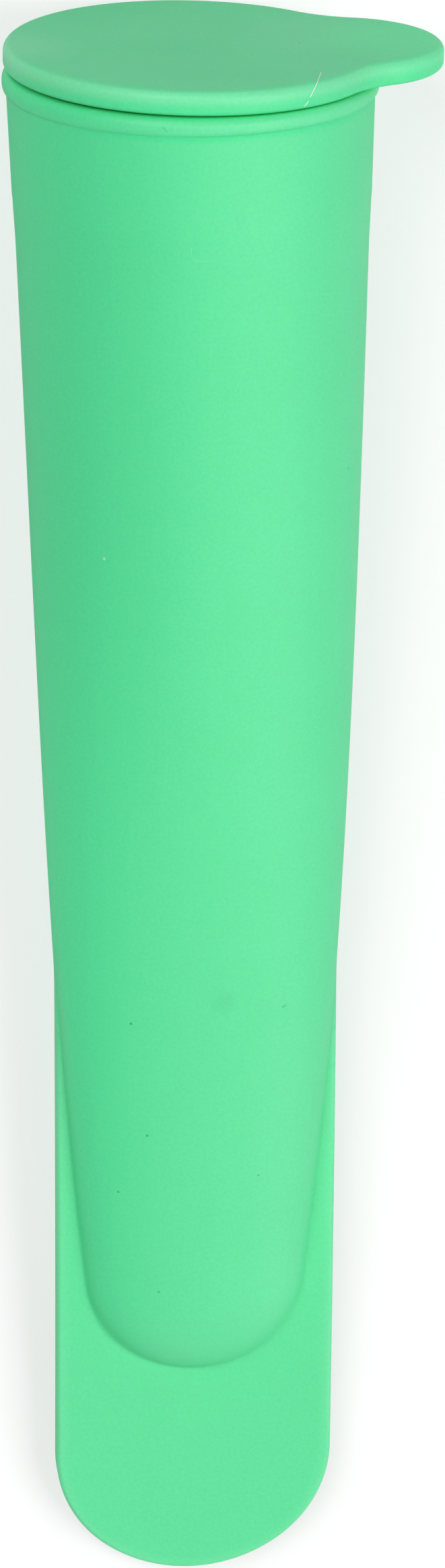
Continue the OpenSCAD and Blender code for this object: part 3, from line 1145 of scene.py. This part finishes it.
@dataclass(frozen=True)
class Studio:
    """Pale floor, soft light and the camera.

    The camera's sizes are in the tube's frame turned by yaw about its axis, so that the camera looks
    along +y, down by pitch.
    """

    distance: float = 769.5
    rise: float = 202.64
    aside: float = 3.895
    yaw: float = 6.481
    pitch: float = 20.815
    roll: float = -0.07
    lens: float = 153.7
    sensor: float = 36.0
    near_and_far_m: tuple[float, float] = (0.05, 20.0)
    floor_half_m: float = 4.0
    white_share: float = 0.55
    white_from_m: float = 0.16
    white_by_m: float = 0.5
    lamp_m: float = 0.8
    room: float = 0.15

    def camera(self, place: Matrix) -> None:
        """Sets up the camera at the photograph's viewing angle.

        Args:
            place: The matrix from the tube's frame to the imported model's.
        """
        turn = place.to_3x3().normalized() @ Matrix.Rotation(-math.radians(self.yaw), 3, "Z")
        pitch, roll = math.radians(self.pitch), math.radians(self.roll)
        ahead = Vector((0, math.cos(pitch), -math.sin(pitch)))
        over = Vector((0, math.sin(pitch), math.cos(pitch)))
        side = Vector((1, 0, 0))
        right = side * math.cos(roll) - over * math.sin(roll)
        top = side * math.sin(roll) + over * math.cos(roll)
        axes = Matrix((turn @ right, turn @ top, turn @ -ahead)).transposed()
        eye = turn @ Vector((self.aside, -self.distance, self.rise)) * MM + place.to_translation()
        data = bpy.data.cameras.new("viewpoint")
        data.lens, data.sensor_width = self.lens, self.sensor
        data.clip_start, data.clip_end = self.near_and_far_m
        camera = put("viewpoint", data)
        camera.matrix_world = Matrix.Translation(eye) @ axes.to_4x4()
        bpy.context.scene.camera = camera

    def floor(self) -> None:
        """Lays the pale floor that the mould lies on, which shows white to the camera."""
        h = self.floor_half_m
        mesh = bpy.data.meshes.new("floor")
        mesh.from_pydata([(-h, -h, 0), (h, -h, 0), (h, h, 0), (-h, h, 0)], [], [(0, 1, 2, 3)])
        material, tree = start_material("painted_pale_floor")
        seen = add(tree, "ShaderNodeLightPath")["Is Camera Ray"]
        tones = {0: seen, 6: colour("#DADADA"), 7: colour("#FFFFFF")}
        paint = add(tree, "ShaderNodeMix", tones, data_type="RGBA")[2]
        lit = add(tree, "ShaderNodeBsdfDiffuse", {"Color": paint})[0]
        glow = add(tree, "ShaderNodeEmission", {"Color": colour("#FFFFFF"), "Strength": 1.0})[0]
        # To the camera about half of the floor is plain white, so that the shadow on it is faint, and all of
        # it is white well away from the mould
        at = add(tree, "ShaderNodeTexCoord")["Object"]
        away = add(tree, "ShaderNodeVectorMath", {0: at}, operation="LENGTH")["Value"]
        spread = {0: away, 1: self.white_from_m, 2: self.white_by_m, 3: self.white_share, 4: 1.0}
        white = add(tree, "ShaderNodeMapRange", spread, interpolation_type="SMOOTHSTEP")[0]
        share = add(tree, "ShaderNodeMath", {0: seen, 1: white}, operation="MULTIPLY")[0]
        surface = add(tree, "ShaderNodeMixShader", {0: share, 1: lit, 2: glow})
        add(tree, "ShaderNodeOutputMaterial", {"Surface": surface[0]})
        mesh.materials.append(material)
        floor = put("floor", mesh)

    def light(self) -> None:
        """Lights the scene with a pale surrounding and four soft round lamps."""
        world = bpy.data.worlds.new("pale_room")
        world.use_nodes = True
        tree = world.node_tree
        tree.nodes.clear()
        seen = add(tree, "ShaderNodeLightPath")["Is Camera Ray"]
        room = add(tree, "ShaderNodeMapRange", {0: seen, 3: self.room, 4: 1.0})[0]
        sky = add(tree, "ShaderNodeBackground", {"Color": colour("#FFFFFF"), "Strength": room})[0]
        add(tree, "ShaderNodeOutputWorld", {"Surface": sky})
        bpy.context.scene.world = world
        for name, spot, power in (
            ("key_right", (0.717, 0.0, 1.024), 7.8),
            ("key_behind_left", (-0.507, 0.507, 1.024), 8.6),
            ("fill_right", (0.83, -0.83, 0.428), 2.8),
            ("fill_front", (0.0, -1.175, 0.428), 2.0),
        ):
            lamp = bpy.data.lights.new(name, "AREA")
            lamp.shape, lamp.size, lamp.energy = "DISK", self.lamp_m, power
            holder = put(name, lamp)
            holder.location = spot
            holder.rotation_mode = "QUATERNION"
            holder.rotation_quaternion = (-Vector(spot)).to_track_quat("-Z", "Y")
        bpy.context.scene.view_settings.view_transform = "Standard"


def lie_down(lid: Lid) -> Matrix:
    """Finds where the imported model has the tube, from its joint's axis and its lid's mount.

    Args:
        lid: The lid, for where the mount is in the tube's frame.

    Returns:
        The matrix from the tube's frame, in millimetres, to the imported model's, in metres.
    """
    axis = Vector(frame["joints"][0]["axis"])
    turn = Matrix.Rotation(math.atan2(axis.z, axis.y) - math.pi / 2, 4, "X")
    mount = Vector(next(m for m in frame["record"]["mounts"] if m["name"] == "lid_top")["pos_m"])
    top = lid.in_tube() @ Vector((0, 0, lid.thick))
    return Matrix.Translation(mount - turn @ top * MM) @ turn @ Matrix.Scale(MM, 4)


def main() -> None:
    """Builds the mould piece by piece, then the studio."""
    logging.basicConfig(level=logging.INFO, format="%(name)s: %(message)s")
    tube = MouldTube()
    lid = Lid(tube=tube)
    place = lie_down(lid)
    pieces = [tube.build(place), lid.build(place)]
    hair = Lint(
        "lint_hair",
        "lid",
        (
            (12.3, -14.8, 2.98),
            (11.1, -18.3, 2.97),
            (10.5, -19.45, 2.48),
            (10.0, -19.83, 1.7),
            (9.75, -19.85, 1.25),
            (9.5, -20.05, 0.85),
            (9.1, -20.14, 0.44),
        ),
        0.047,
        LintFibre("polyester_lint_white", "#F4FFF9", "#FFFFFF"),
    )
    fibre = Lint(
        "lint_curl",
        "tube",
        (
            (-2.18, -21.18, -15.3),
            (-2.02, -21.06, -16.6),
            (-0.06, -21.12, -16.95),
            (0.96, -21.18, -16.4),
            (2.92, -21.3, -12.5),
            (3.96, -21.2, -10.9),
        ),
        0.03,
        LintFibre("polyester_lint_clear", "#70E8AB", "#93F2C0"),
    )
    pieces += [hair.build(place @ lid.in_tube()), fibre.build(place)]
    for piece in pieces:
        mesh = piece.data
        LOG.info("%s: %d faces, %.2f cm3", piece.name, len(mesh.polygons), volume_cm3(mesh))
    studio = Studio()
    studio.camera(place)
    studio.floor()
    studio.light()


if __name__ == "__main__":
    main()
